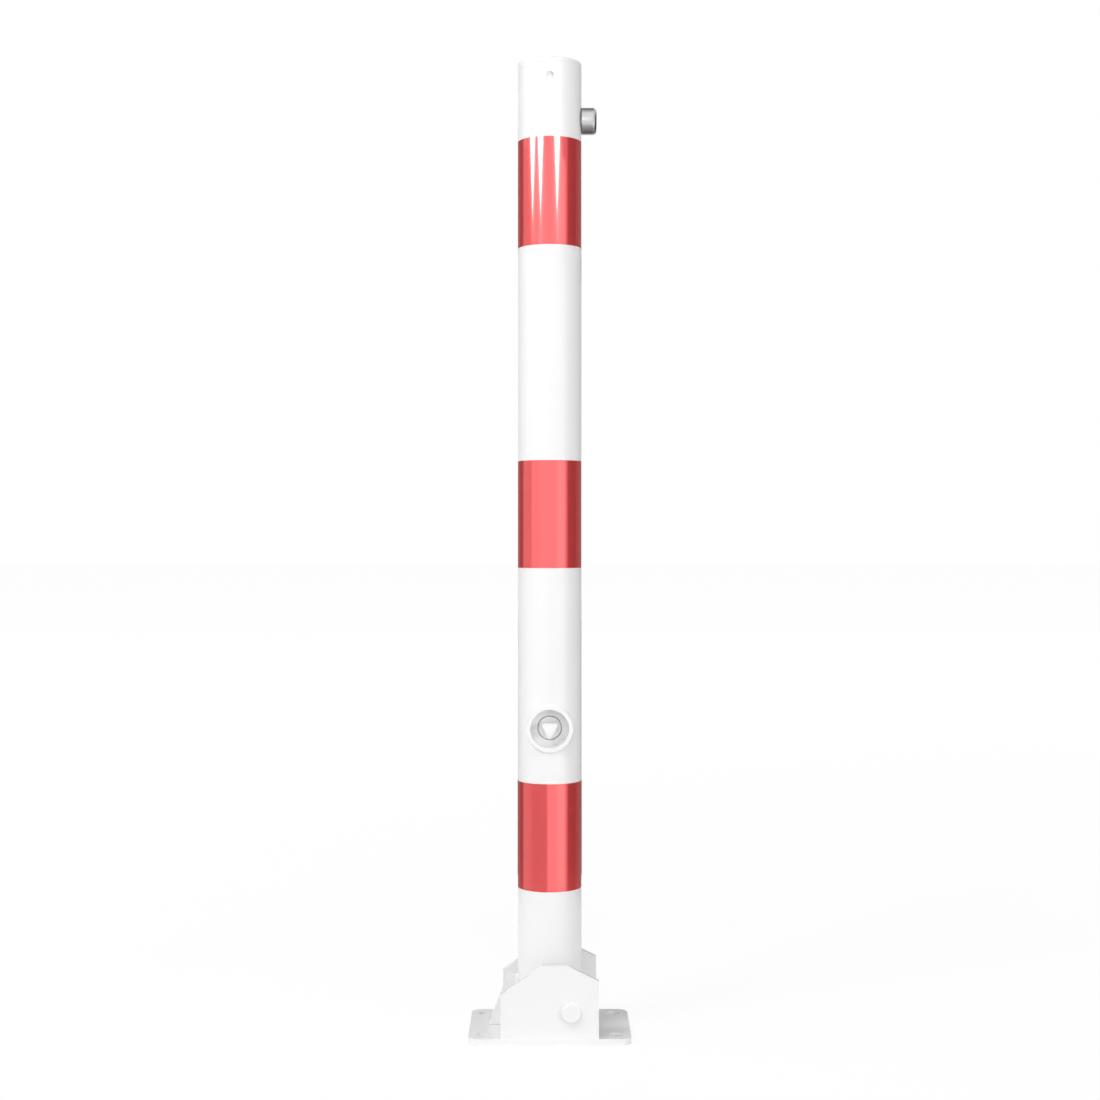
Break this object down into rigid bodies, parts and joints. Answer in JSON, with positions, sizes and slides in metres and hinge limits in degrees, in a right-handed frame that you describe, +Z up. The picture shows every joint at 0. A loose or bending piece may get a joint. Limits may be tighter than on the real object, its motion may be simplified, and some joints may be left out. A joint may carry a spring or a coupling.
{
  "type": "fold-down bollard",
  "caption": "Round white post with red reflective bands, hinged between two cheeks on a bolted base plate; a key-turned bolt in its foot locks it upright, and it folds flat to one side.",
  "frame": {"origin": "on the ground under the post's axis, at the centre of the base plate's underside", "axes": "+Z up the post, +X towards the side that the post folds down to, -Y towards the lock"},
  "size_m": [0.15, 0.106, 0.91],
  "materials": {
    "white_coat": "white powder coat, semi-gloss",
    "spindle_coat": "white powder coat, semi-gloss, on the key spindle",
    "red_film": "glossy red film",
    "satin_steel": "turned steel, satin",
    "zinc_steel": "zinc-plated",
    "bare_steel": "bare, lightly oiled",
    "black_rubber": "matt black rubber",
    "bush_bronze": "sintered bronze"
  },
  "bodies": {
    "base": {"base_plate": "white_coat", "front_cheek": "white_coat", "rear_cheek": "white_coat", "hinge_pin": "white_coat", "hinge_pin_ring": "zinc_steel"},
    "post": {"post_tube": "white_coat", "foot_fin": "white_coat", "foot_end_plate": "white_coat", "hinge_barrel": "white_coat", "front_bush": "bush_bronze", "rear_bush": "bush_bronze", "top_cap": "white_coat", "cap_pin": "white_coat", "rest_foot": "satin_steel", "rest_foot_boss": "bare_steel", "red_band_bottom": "red_film", "red_band_middle": "red_film", "red_band_top": "red_film", "lock_collar": "white_coat", "lock_back_plate": "white_coat", "bolt_guide": "bare_steel", "grip_ring": "black_rubber"},
    "key": {"key_spindle": "spindle_coat", "spindle_ring": "zinc_steel", "crank": "bare_steel", "crank_pin": "bare_steel"},
    "bolt": {"locking_bolt": "bare_steel", "bolt_yoke": "bare_steel", "yoke_pin": "bare_steel"}
  },
  "joints": [
    {"name": "post_fold", "type": "hinge", "parent": "base", "child": "post", "pos_m": [0.0195, 0, 0.03], "axis": [0, 1, 0], "range_deg": [0, 90]},
    {"name": "bolt_slide", "type": "slide", "parent": "post", "child": "bolt", "axis": [0, 0, 1], "range_m": [-0.0113, 0]},
    {"name": "key_turn", "type": "hinge", "parent": "post", "child": "key", "pos_m": [0, 0, 0.287], "axis": [0, 1, 0], "range_deg": [-90, 0]}
  ],
  "couplings": [
    {"joint": "key_turn", "follows": "bolt_slide", "rad_per_m": 138.84}
  ]
}
